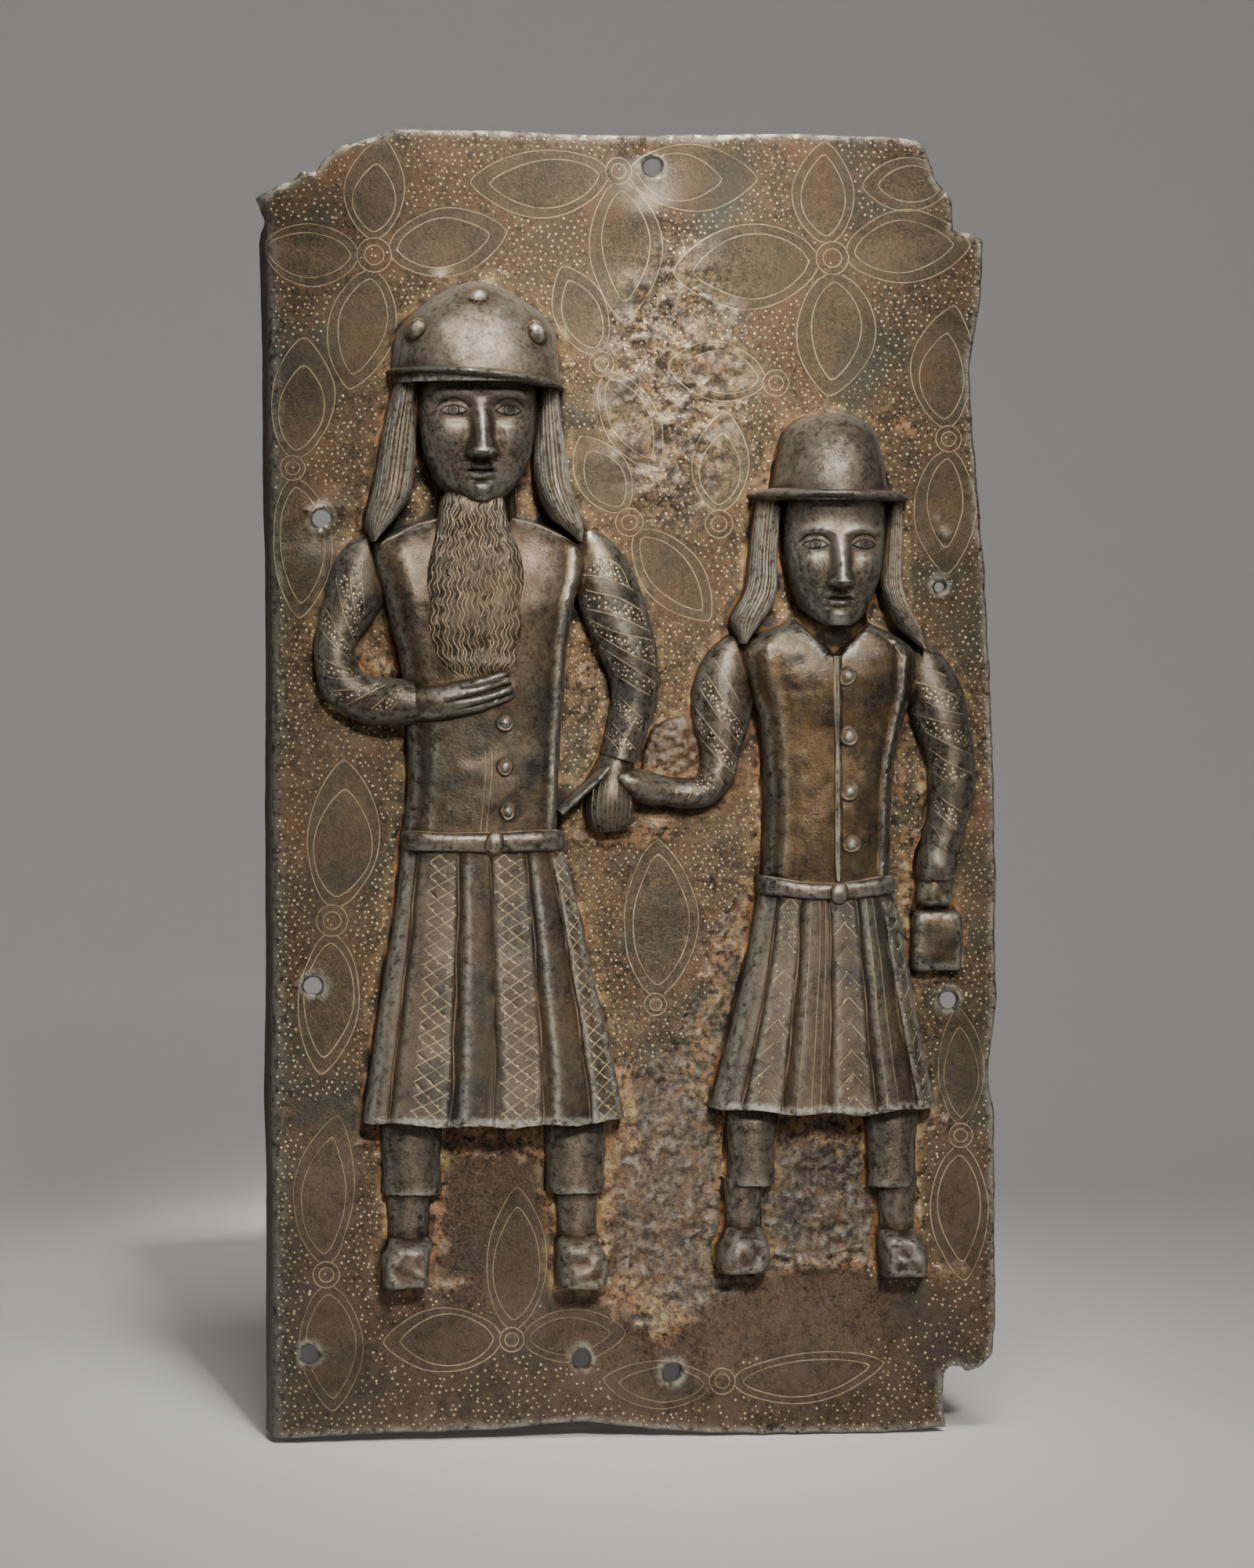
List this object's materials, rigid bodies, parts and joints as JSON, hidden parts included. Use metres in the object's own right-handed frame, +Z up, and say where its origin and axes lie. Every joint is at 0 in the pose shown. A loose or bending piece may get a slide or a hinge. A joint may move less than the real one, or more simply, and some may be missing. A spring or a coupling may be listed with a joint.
{
  "type": "relief plaque",
  "caption": "Upright cast brass wall plaque with two standing helmeted figures in high relief, chased flowers and dots on its ground, ragged edges and nail holes.",
  "frame": {"origin": "The middle of the flat back face, where the plaque lies against its wall.", "axes": "+Z runs up the plaque, -Y points out of the relief to the viewer, and +X is the viewer's right."},
  "size_m": [0.2686, 0.0572, 0.4735],
  "materials": {
    "patinated_brass": "dark brown patina with worn lighter high spots and tan dirt in the chasing"
  },
  "bodies": {
    "root": {"relief_plaque": "patinated_brass"}
  },
  "joints": []
}
